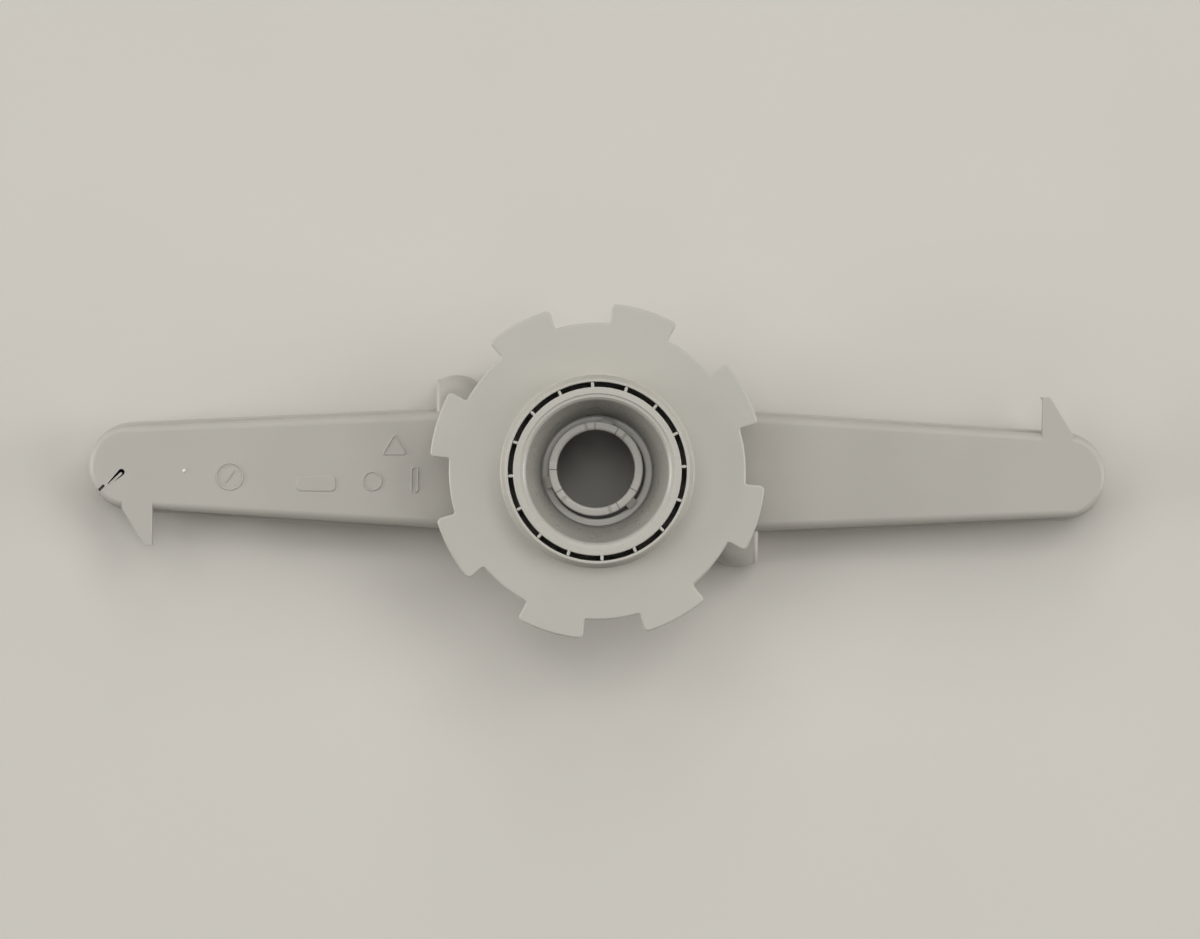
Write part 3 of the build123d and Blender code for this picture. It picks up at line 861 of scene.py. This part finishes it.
def hood_nose(hoods, height, crown_round):
    """Flat jet face of a hood with soft edges: the hood's section, drawn out towards -X."""
    start = hoods.flat - hoods.flat_round
    crown_radius = hoods.radius - crown_round
    reach = acos(max((start - crown_radius) / crown_round, 0.0))
    section = [(hoods.radius, 0.0)]
    for step in range(CROWN_STEPS + 1):
        turn = reach * step / CROWN_STEPS
        section.append((crown_radius + crown_round * cos(turn), height - crown_round * (1 - sin(turn))))
    right = [Vector((sqrt(max(radius**2 - start**2, 0.0)), rise)) for radius, rise in section]
    outline = right + [Vector((-point.x, point.y)) for point in reversed(right)]
    rounds = [hoods.flat_round if point.y else 0.0 for point in outline]
    nose = slab(outline, start - hoods.flat_round, hoods.flat, 0.0, rounds)
    nose.transform(Matrix(((0, 0, -1, 0), (-1, 0, 0, 0), (0, 1, 0, 0), (0, 0, 0, 1))))
    return nose


def hood(hoods, height, crown_round):
    """Round hood about the origin, which stands on its seam and is cut off flat towards -X."""
    outline = circle((0.0, 0.0), hoods.radius, HOOD_SEGMENTS)
    dome = slab(outline, 0.0, height, 0.0, crown_round)
    dome = cut_flat(dome, (hoods.flat_round - hoods.flat, 0.0, 0.0), (-1.0, 0.0, 0.0))
    return combined([dome, hood_nose(hoods, height, crown_round)])


def hood_hollow(hoods, height, wall):
    """Room inside that hood, open at the seam."""
    block = slab(circle((0.0, 0.0), hoods.radius - wall, HOOD_SEGMENTS), -wall, height - wall)
    return cut_flat(block, (wall - hoods.flat, 0.0, 0.0), (-1.0, 0.0, 0.0))


def at_hoods(wings, hoods, mesh, spin=0.0):
    """The mesh at both hoods' places on the seam, turned over about X where a spin is given."""
    middle = (-hoods.along, wing_half_width(wings, hoods.along) + hoods.outset, wings.seam_height)
    mesh.transform(Matrix.Translation(middle) @ Matrix.Rotation(spin, 4, "X"))
    return both_ends(mesh)


def hood_jet(wings, hoods):
    """Cut for the jet through the flat face of the left wing's hood."""
    face_x = -hoods.along - hoods.flat
    middle_y = wing_half_width(wings, -face_x) + hoods.jet_outset
    middle_z = (wings.seam_height + wings.flange_height + hoods.height - wings.wall) / 2
    outline = moved(rectangle(4 * wings.wall, hoods.jet_width), (face_x, middle_y))
    return slab(outline, middle_z - hoods.jet_height / 2, middle_z + hoods.jet_height / 2)


def drive_slot_cuts(wings):
    """Cuts for the slanted slot in the left tip, which leaves a tongue, and for the notch at its rim."""
    centre = Vector((-wings.tip_centre - wings.slot_beyond_tip, -wings.slot_offset))
    spin = Matrix.Rotation(wings.slot_turn, 2)
    bottom = wings.arm_height - wings.slot_depth
    top = wings.arm_height + wings.slot_depth
    mouth = moved(teardrop(wings.slot_length, wings.slot_width, wings.slot_narrow), centre, wings.slot_turn)
    tongue_centre = centre - spin @ Vector((wings.tongue_back, wings.tongue_offset))
    tongue = moved(stadium(wings.slot_length, wings.tongue_width), tongue_centre, wings.slot_turn)
    tongue_block = slab(tongue, bottom - wings.wall, wings.arm_height - wings.tongue_sink)
    back = (wings.slot_length + wings.notch_length) / 2 + wings.bridge
    notch_centre = centre + spin @ Vector((-back, wings.notch_shift))
    notch = moved(stadium(wings.notch_length, wings.slot_narrow), notch_centre, wings.slot_turn)
    return [combined([slab(mouth, bottom, top)], [tongue_block]), slab(notch, bottom, top)]


def flange_slabs(wings, hub, bottom, top):
    """Weld flange round the wings and the hub."""
    wing = wing_outline(wings, wings.flange_reach)
    pot = circle((0.0, 0.0), hub.pot_radius + wings.flange_reach, TURN_SEGMENTS)
    edge = wings.flange_round
    return [slab(outline, bottom, top, edge, edge) for outline in (wing, pot)]


def lower_shell_mesh(wings, hoods, hub):
    """Half with the plain face, the fins, the hoods and the hub pot."""
    below = wings.seam_height - wings.wall
    outline = wing_outline(wings)
    wing = slab(outline, wings.seam_height, wings.arm_height, 0.0, wing_rounds(wings, outline))
    hood_height = hoods.height - wings.seam_height
    pot = cylinder(hub.pot_radius, wings.seam_height, hub.deck_height)
    edge = wings.flange_round
    lip_radius = hub.pot_radius + hub.weld_lip_reach
    lip = cylinder(lip_radius, hub.deck_height - hub.weld_lip_height, hub.deck_height, edge, edge)
    flange_top = wings.seam_height + wings.flange_height
    solids = [wing, pot, lip] + both_ends(fin(wings))
    solids += at_hoods(wings, hoods, hood(hoods, hood_height, hoods.round))
    solids += flange_slabs(wings, hub, wings.seam_height, flange_top)
    cuts = [
        slab(wing_outline(wings, -wings.wall), below, wings.arm_height - wings.wall),
        cylinder(hub.pot_radius - wings.wall, below, hub.deck_height - wings.wall),
        cylinder(hub.deck_hole, below, hub.deck_height + wings.wall),
    ]
    cuts += at_hoods(wings, hoods, hood_hollow(hoods, hood_height, wings.wall))
    cuts += both_ends(hood_jet(wings, hoods)) + drive_slot_cuts(wings)
    return combined(solids, cuts)


def upper_shell_mesh(wings, hoods, hub, material):
    """Half with the spray face, which the arm lies on."""
    above = wings.seam_height + wings.wall
    spray = wings.spray_round
    wing = slab(wing_outline(wings), 0.0, wings.seam_height, spray)
    pot = cylinder(hub.pot_radius, 0.0, wings.seam_height, spray)
    solids = [wing, pot] + at_hoods(wings, hoods, hood(hoods, wings.seam_height, spray), pi)
    solids += flange_slabs(wings, hub, wings.seam_height - wings.flange_height, wings.seam_height)
    cuts = [
        slab(wing_outline(wings, -wings.wall), wings.wall, above),
        cylinder(hub.pot_radius - wings.wall, wings.wall, above),
    ]
    cuts += at_hoods(wings, hoods, hood_hollow(hoods, wings.seam_height, wings.wall), pi)
    slot = slab(rectangle(hoods.nozzle_length, hoods.nozzle_width), -wings.wall, 2 * wings.wall)
    margin = 2 * hoods.dimple_margin
    dimple_outline = stadium(hoods.nozzle_length + margin, hoods.nozzle_width + margin)
    dimple = slab(dimple_outline, -wings.wall, hoods.dimple_depth)
    cuts += both_ends(row_of_copies(dimple, material, hoods))
    cuts += both_ends(row_of_copies(slot, material, hoods))
    return combined(solids, cuts)


def toothed_disc_mesh(hub):
    """Toothed plate with the skirt below it and the tapered collar above it."""
    outline = toothed_outline(hub)
    plate = slab(outline, hub.disc_bottom, hub.disc_top, hub.disc_under_edge, hub.disc_edge)
    hole = cylinder(hub.pot_radius, hub.disc_bottom - hub.collar_round, hub.disc_top + hub.collar_round)
    lip_radius = hub.pot_radius + hub.weld_lip_reach
    lip_top = hub.deck_height + hub.weld_lip_height
    foot = hub.collar_bore + hub.collar_foot
    flare = foot + 2 * hub.collar_round
    rim_corner = hub.collar_rim / 3
    collar = turned(
        [
            (hub.collar_bore, hub.deck_height, 0.0),
            (lip_radius, hub.deck_height, rim_corner),
            (lip_radius, lip_top, rim_corner),
            (hub.pot_radius, lip_top, 0.0),
            (hub.pot_radius, hub.disc_bottom, hub.collar_rim),
            (flare, hub.disc_bottom, 0.0),
            (flare, hub.disc_top, 0.0),
            (foot, hub.disc_top, hub.collar_round),
            (hub.collar_bore + hub.collar_rim, hub.rim_height, rim_corner),
            (hub.collar_bore, hub.rim_height, rim_corner),
        ]
    )
    return combined([combined([plate], [hole]), collar])


def funnel_slope(hub, ring_top):
    """Mouth and throat of the funnel's inside, and functions for the radius and height of its outside."""
    mouth_radius = hub.collar_bore - hub.slot_width - hub.rim_width
    step_top = hub.rim_height - hub.step_depth
    mouth = Vector((mouth_radius - hub.funnel_lead, step_top - hub.funnel_lead))
    throat = Vector((hub.throat, ring_top))
    run = (mouth - throat).normalized()
    base = throat + Vector((run.y, -run.x)) * hub.funnel_wall

    def outside_radius(height):
        return base.x + run.x / run.y * (height - base.y)

    def outside_height(radius):
        return base.y + run.y / run.x * (radius - base.x)

    return mouth, throat, outside_radius, outside_height


def funnel_mesh(hub, bearing):
    """Funnel that leads the feed pipe to the bush, with a stepped rim."""
    mouth, throat, outside_radius, outside_height = funnel_slope(hub, bearing.ring_top)
    rim_radius = hub.collar_bore - hub.slot_width
    mouth_radius = rim_radius - hub.rim_width
    step_radius = mouth_radius + hub.step_width
    step_top = hub.rim_height - hub.step_depth
    rim_bottom = hub.rim_height - hub.rim_thickness
    seat = bearing.ring_radius + hub.seat_clearance
    foot = seat + hub.seat_wall
    small = hub.step_depth / 2
    return turned(
        [
            (seat, hub.deck_height, 0.0),
            (foot, hub.deck_height, small),
            (foot, outside_height(foot), small),
            (outside_radius(rim_bottom), rim_bottom, small),
            (rim_radius, rim_bottom, small),
            (rim_radius, hub.rim_height, 1.5 * small),
            (step_radius, hub.rim_height, small / 2),
            (step_radius, step_top, small / 2),
            (mouth_radius, step_top, small),
            (mouth.x, mouth.y, 2 * small),
            (throat.x, throat.y, small),
            (seat, bearing.ring_top, 0.0),
        ]
    )


def web_mesh(hub, bearing):
    """Upright web across the ring-shaped slot, in the direction of X, with a rounded crown."""
    outside_height = funnel_slope(hub, bearing.ring_top)[3]
    foot = bearing.ring_radius + hub.seat_clearance + hub.seat_wall / 2
    reach = hub.collar_bore - hub.web_clearance
    rim_radius = hub.collar_bore - hub.slot_width
    rim_bottom = hub.rim_height - hub.rim_thickness
    top = hub.rim_height - hub.web_clearance
    inside = rim_radius - hub.step_depth
    outline = [
        Vector((foot, hub.deck_height)),
        Vector((reach, hub.deck_height)),
        Vector((reach, top)),
        Vector((inside, top)),
        Vector((inside, rim_bottom)),
        Vector((foot, outside_height(foot))),
    ]
    half = hub.web_thickness / 2
    crown = hub.web_crown * half
    mesh = slab(outline, -half, half, crown, crown)
    mesh.transform(Matrix.Rotation(pi / 2, 4, "X"))
    return mesh


def bearing_ring_mesh(hub, bearing):
    """Smooth ring that the bush turns in."""
    edge = bearing.ring_round / 3
    shoulder = bearing.ring_top - bearing.groove_depth
    face_radius = hub.throat - bearing.groove_width
    return turned(
        [
            (bearing.ring_bore, hub.deck_height, bearing.ring_round),
            (bearing.ring_radius, hub.deck_height, edge),
            (bearing.ring_radius, shoulder, edge),
            (face_radius, shoulder, 0.0),
            (face_radius, bearing.ring_top, edge),
            (bearing.ring_bore, bearing.ring_top, bearing.ring_round),
        ]
    )


def bush_section(bearing, top):
    """Section of the bush at one side of the axis, with its rim at a height."""
    soft = bearing.rim_round
    lip_bottom = bearing.ring_top + bearing.hook_clearance
    profile = [
        (bearing.bore, bearing.bottom, soft),
        (bearing.radius, bearing.bottom, soft),
        (bearing.radius, bearing.flange_bottom, 0.0),
        (bearing.flange_radius, bearing.flange_bottom, soft),
        (bearing.flange_radius, bearing.flange_top, soft),
        (bearing.body, bearing.flange_top, 0.0),
        (bearing.body, lip_bottom, 0.0),
        (bearing.radius, lip_bottom, soft),
        (bearing.radius, top, soft),
        (bearing.bore, top, bearing.bore_lead),
    ]
    return section(profile)


def bush_rim_height(bearing, turn):
    """Height of the bush's rim in one direction: it rises at the fingers."""
    pitch = 2 * pi / bearing.finger_count
    from_finger = abs((turn - bearing.finger_start + pitch / 2) % pitch - pitch / 2)
    share = min(max((bearing.finger_arc / 2 - from_finger) / bearing.finger_ramp + 0.5, 0.0), 1.0)
    return bearing.top - bearing.finger_rise * (1 - share)


def bearing_bush_mesh(bearing, material):
    """Bush with a flange under the deck, slit fingers and hooks over the ring."""
    count = bearing.finger_count
    loops = []
    for segment in range(TURN_SEGMENTS):
        turn = 2 * pi * segment / TURN_SEGMENTS
        loops.append(in_direction(bush_section(bearing, bush_rim_height(bearing, turn)), turn))
    tube = loft(loops, closed=True)
    wall = bearing.radius - bearing.bore
    slit_outline = moved(rectangle(4 * wall, bearing.slit_width), (bearing.radius, 0.0))
    slit = slab(slit_outline, bearing.top - bearing.slit_depth, bearing.top + wall)
    hook_bottom = bearing.ring_top + bearing.hook_clearance
    hook_top = hook_bottom + bearing.hook_height
    hook_root = bearing.radius - wall / 2
    hook_radius = bearing.radius + bearing.hook_reach
    hook_edge = bearing.hook_front / 4
    hook_profile = [
        (hook_root, hook_bottom, 0.0),
        (hook_radius, hook_bottom, hook_edge),
        (hook_radius, hook_bottom + bearing.hook_front, hook_edge),
        (bearing.radius, hook_top, hook_edge),
        (hook_root, hook_top, 0.0),
    ]
    hook = turned_sector(hook_profile, bearing.hook_arc, HOOK_STEPS)
    start = bearing.finger_start
    cuts = []
    for side in (-0.5, 0.5):
        cuts.append(ring_of_copies(slit.copy(), material, count, start + side * bearing.slit_arc))
    mesh = combined([combined([tube], cuts), ring_of_copies(hook, material, count, start)])
    mesh.transform(Matrix.Translation((*bearing.rest, 0.0)))
    return mesh


def line_loop(outline, line, bottom, top):
    """Raised line along a closed outline."""
    ways = mitres(outline)
    across = rounded(rectangle(line, top - bottom), line / 4)
    middle = (bottom + top) / 2
    loops = []
    for point, way in zip(outline, ways):
        loops.append([(*(point + way * step.x), middle + step.y) for step in across])
    return loft(loops, closed=True)


def joined(meshes):
    """One mesh that holds several."""
    result = bpy.data.meshes.new("joined")
    with edited(result) as shape:
        for mesh in meshes:
            shape.from_mesh(mesh)
    return result


def gate_pip_mesh(wings, marks):
    """Domed stub that the mould's gate leaves on the plain face."""
    outline = circle(marks.gate, marks.gate_radius, HOOD_SEGMENTS)
    dome = marks.gate_dome * marks.gate_radius
    face = wings.arm_height
    return slab(outline, face - marks.gate_radius, face + marks.gate_radius, 0.0, dome)


def mould_marks_mesh(wings, marks, material):
    """Date clock, bare plate and three plain signs, raised from the plain face."""
    bottom = wings.arm_height - marks.relief
    top = wings.arm_height + marks.relief
    line = marks.line
    clock_line = circle(marks.clock, marks.clock_radius, HOOD_SEGMENTS)
    pointer_outline = moved(rectangle(marks.clock_pointer, line), marks.clock, marks.clock_turn)
    tick_outline = moved(rectangle(line, line / 2), (marks.clock_radius - marks.tick_inset, 0.0))
    tick = slab(tick_outline, bottom, top - marks.relief / 3)
    ticks = ring_of_copies(tick, material, marks.clock_ticks, 0.0)
    ticks.transform(Matrix.Translation((*marks.clock, 0.0)))
    plate_outline = moved(rounded(rectangle(*marks.plate_size), marks.plate_corner), marks.plate)
    bar_outline = moved(rounded(rectangle(*marks.bar_size), marks.bar_corner), marks.bar)
    triangle = arc(marks.triangle, marks.triangle_radius, pi / 2, 2 * pi, 3)[:-1]
    return joined(
        [
            line_loop(clock_line, line, bottom, top),
            slab(pointer_outline, bottom, top, line / 4, line / 4),
            ticks,
            slab(plate_outline, bottom, top, marks.relief, marks.relief),
            line_loop(circle(marks.ring, marks.ring_radius, HOOD_SEGMENTS), line, bottom, top),
            line_loop(bar_outline, line, bottom, top),
            line_loop(rounded(triangle, line), line, bottom, top),
        ]
    )


# Operators, one for each piece

class SPRAYARM_OT_lower_shell(bpy.types.Operator):
    """Build the shell with the plain face, the fins, the hoods and the hub pot"""

    bl_idname = "spray_arm.lower_shell"
    bl_label = "Lower Shell"

    def execute(self, context):
        sizes = context.scene.spray_arm
        mesh = lower_shell_mesh(sizes.wings, sizes.hoods, sizes.hub)
        finished("plain_face_shell", mesh, shell_plastic(sizes.finish), "arm", "shell_grey", "lower_shell")
        return {"FINISHED"}


class SPRAYARM_OT_upper_shell(bpy.types.Operator):
    """Build the shell with the spray face and its nozzles"""

    bl_idname = "spray_arm.upper_shell"
    bl_label = "Upper Shell"

    def execute(self, context):
        sizes = context.scene.spray_arm
        material = shell_plastic(sizes.finish)
        mesh = upper_shell_mesh(sizes.wings, sizes.hoods, sizes.hub, material)
        finished("spray_face_shell", mesh, material, "arm", "shell_grey", "upper_shell")
        return {"FINISHED"}


class SPRAYARM_OT_toothed_disc(bpy.types.Operator):
    """Build the toothed disc with its skirt and collar"""

    bl_idname = "spray_arm.toothed_disc"
    bl_label = "Toothed Disc"

    def execute(self, context):
        sizes = context.scene.spray_arm
        mesh = toothed_disc_mesh(sizes.hub)
        finished("disc_and_collar", mesh, disc_plastic(sizes.finish), "arm", "disc_grey", "toothed_disc")
        return {"FINISHED"}


class SPRAYARM_OT_hub_insert(bpy.types.Operator):
    """Build the funnel in the collar and the webs that hold it"""

    bl_idname = "spray_arm.hub_insert"
    bl_label = "Hub Insert"

    def execute(self, context):
        sizes = context.scene.spray_arm
        material = insert_plastic(sizes.finish, sizes.hub)
        funnel = funnel_mesh(sizes.hub, sizes.bearing)
        web = web_mesh(sizes.hub, sizes.bearing)
        webs = ring_of_copies(web, material, sizes.hub.web_count, sizes.hub.web_start)
        finished("funnel", funnel, material, "arm", "disc_grey", "hub_insert")
        finished("funnel_webs", webs, material, "arm", "disc_grey")
        return {"FINISHED"}


class SPRAYARM_OT_bearing_ring(bpy.types.Operator):
    """Build the smooth ring at the bottom of the funnel"""

    bl_idname = "spray_arm.bearing_ring"
    bl_label = "Bearing Ring"

    def execute(self, context):
        sizes = context.scene.spray_arm
        mesh = bearing_ring_mesh(sizes.hub, sizes.bearing)
        material = bearing_plastic(sizes.finish, sizes.bearing)
        finished("running_ring", mesh, material, "arm", "bearing_grey", "bearing_ring")
        return {"FINISHED"}


class SPRAYARM_OT_bearing_bush(bpy.types.Operator):
    """Build the loose bush with its snap fingers"""

    bl_idname = "spray_arm.bearing_bush"
    bl_label = "Bearing Bush"

    def execute(self, context):
        sizes = context.scene.spray_arm
        material = bearing_plastic(sizes.finish, sizes.bearing)
        mesh = bearing_bush_mesh(sizes.bearing, material)
        finished("snap_bush", mesh, material, "bush", "bearing_grey", "bearing_bush")
        return {"FINISHED"}


class SPRAYARM_OT_mould_marks(bpy.types.Operator):
    """Build the plain moulded marks and the gate pip on one wing"""

    bl_idname = "spray_arm.mould_marks"
    bl_label = "Mould Marks"

    def execute(self, context):
        sizes = context.scene.spray_arm
        material = shell_plastic(sizes.finish)
        marks = mould_marks_mesh(sizes.wings, sizes.marks, material)
        finished("mould_marks", marks, material, "arm", "shell_grey")
        pip = gate_pip_mesh(sizes.wings, sizes.marks)
        finished("gate_pip", pip, gate_highlight_plastic(sizes.finish), "arm", "shell_grey")
        return {"FINISHED"}


def floor_material(stage):
    """Pale board with a faint uneven tone."""
    material, tree, where = blank_material("floor_board")
    tone = noise(tree, where, FLOOR_SCALE, detail=3.0, low=0.99, high=1.01)
    shade = tinted(tree, stage.floor, tone)
    add_surface(tree, {"Base Color": shade, "Roughness": stage.floor_roughness, "Specular IOR Level": 0.2})
    return material


def add_lamp(stage, name, direction, rise, watts):
    """Soft square lamp that faces the hub, at a compass direction from +X and a rise in degrees."""
    lamp = bpy.data.lights.new(name, "AREA")
    lamp.shape = "SQUARE"
    lamp.size = stage.lamp_size
    lamp.energy = watts
    level = Vector((cos(radians(direction)), sin(radians(direction)), 0.0)) * cos(radians(rise))
    towards = level + Vector((0.0, 0.0, sin(radians(rise))))
    holder = bpy.data.objects.new(name, lamp)
    holder.location = towards * stage.lamp_distance
    holder.rotation_euler = towards.to_track_quat("Z", "Y").to_euler()
    bpy.context.scene.collection.objects.link(holder)


def set_world(strength):
    """Even grey light from all round, which the camera sees as a pale backdrop."""
    world = bpy.data.worlds.new("studio")
    world.use_nodes = True
    tree = world.node_tree
    tree.nodes.clear()
    light = add_node(tree, "ShaderNodeBackground", {"Color": (1.0, 0.99, 0.97, 1.0), "Strength": strength})
    backdrop = add_node(tree, "ShaderNodeBackground", {"Color": (0.72, 0.70, 0.66, 1.0)})
    seen = add_node(tree, "ShaderNodeLightPath").outputs["Is Camera Ray"]
    mix = add_node(tree, "ShaderNodeMixShader", {0: seen, 1: light.outputs[0], 2: backdrop.outputs[0]})
    add_node(tree, "ShaderNodeOutputWorld", {"Surface": mix.outputs[0]})
    bpy.context.scene.world = world


class SPRAYARM_OT_stage(bpy.types.Operator):
    """Build the pale floor, the soft lamps and the camera above the hub"""

    bl_idname = "spray_arm.stage"
    bl_label = "Stage"

    def execute(self, context):
        stage = context.scene.spray_arm.stage
        outline = rounded(rectangle(stage.floor_size, stage.floor_size), stage.floor_corner)
        floor_mesh = slab(outline, -stage.floor_thickness, 0.0)
        floor_mesh.materials.append(floor_material(stage))
        floor = bpy.data.objects.new("floor", floor_mesh)
        context.scene.collection.objects.link(floor)
        add_lamp(stage, "top_lamp", 90, 88, 10.0)
        add_lamp(stage, "high_lamp", 90, 70, 22.0)
        add_lamp(stage, "high_left_lamp", 135, 50, 26.0)
        add_lamp(stage, "high_right_lamp", 45, 50, 38.0)
        add_lamp(stage, "left_lamp", 180, 50, 18.0)
        add_lamp(stage, "right_lamp", 0, 40, 30.0)
        add_lamp(stage, "far_lamp", 90, 30, 28.0)
        add_lamp(stage, "near_lamp", 270, 50, 8.0)
        add_lamp(stage, "low_left_lamp", 180, 12, 100.0)
        add_lamp(stage, "low_right_lamp", 0, 12, 66.0)
        set_world(0.04)
        lens = bpy.data.cameras.new("photo_camera")
        lens.sensor_width = 36.0
        lens.lens = lens.sensor_width * stage.camera_height / stage.view_width
        lens.clip_start = 10 * MM
        camera = bpy.data.objects.new("photo_camera", lens)
        camera.location = (*stage.camera_aim, stage.camera_height)
        camera.rotation_euler = (0.0, 0.0, stage.camera_turn)
        context.scene.collection.objects.link(camera)
        context.scene.camera = camera
        context.scene.view_settings.view_transform = "Standard"
        return {"FINISHED"}


class SPRAYARM_PT_parts(bpy.types.Panel):
    """Lists the pieces of the spray arm"""

    bl_idname = "SPRAYARM_PT_parts"
    bl_label = "Spray Arm"
    bl_space_type = "VIEW_3D"
    bl_region_type = "UI"
    bl_category = "Spray Arm"

    def draw(self, context):
        for operator in OPERATORS:
            self.layout.operator(operator.bl_idname)


GROUPS = (
    WingSizes,
    HoodSizes,
    HubSizes,
    BearingSizes,
    MarkSizes,
    Finishes,
    StageSizes,
    SprayArmSettings,
)
OPERATORS = (
    SPRAYARM_OT_lower_shell,
    SPRAYARM_OT_upper_shell,
    SPRAYARM_OT_toothed_disc,
    SPRAYARM_OT_hub_insert,
    SPRAYARM_OT_bearing_ring,
    SPRAYARM_OT_bearing_bush,
    SPRAYARM_OT_mould_marks,
    SPRAYARM_OT_stage,
)
CLASSES = GROUPS + OPERATORS + (SPRAYARM_PT_parts,)


def register():
    for item in CLASSES:
        bpy.utils.register_class(item)
    bpy.types.Scene.spray_arm = PointerProperty(type=SprayArmSettings)


def unregister():
    del bpy.types.Scene.spray_arm
    for item in reversed(CLASSES):
        bpy.utils.unregister_class(item)


def main():
    register()
    bpy.ops.spray_arm.lower_shell()
    bpy.ops.spray_arm.upper_shell()
    bpy.ops.spray_arm.toothed_disc()
    bpy.ops.spray_arm.hub_insert()
    bpy.ops.spray_arm.bearing_ring()
    bpy.ops.spray_arm.bearing_bush()
    bpy.ops.spray_arm.mould_marks()
    bpy.ops.spray_arm.stage()


if __name__ == "__main__":
    main()
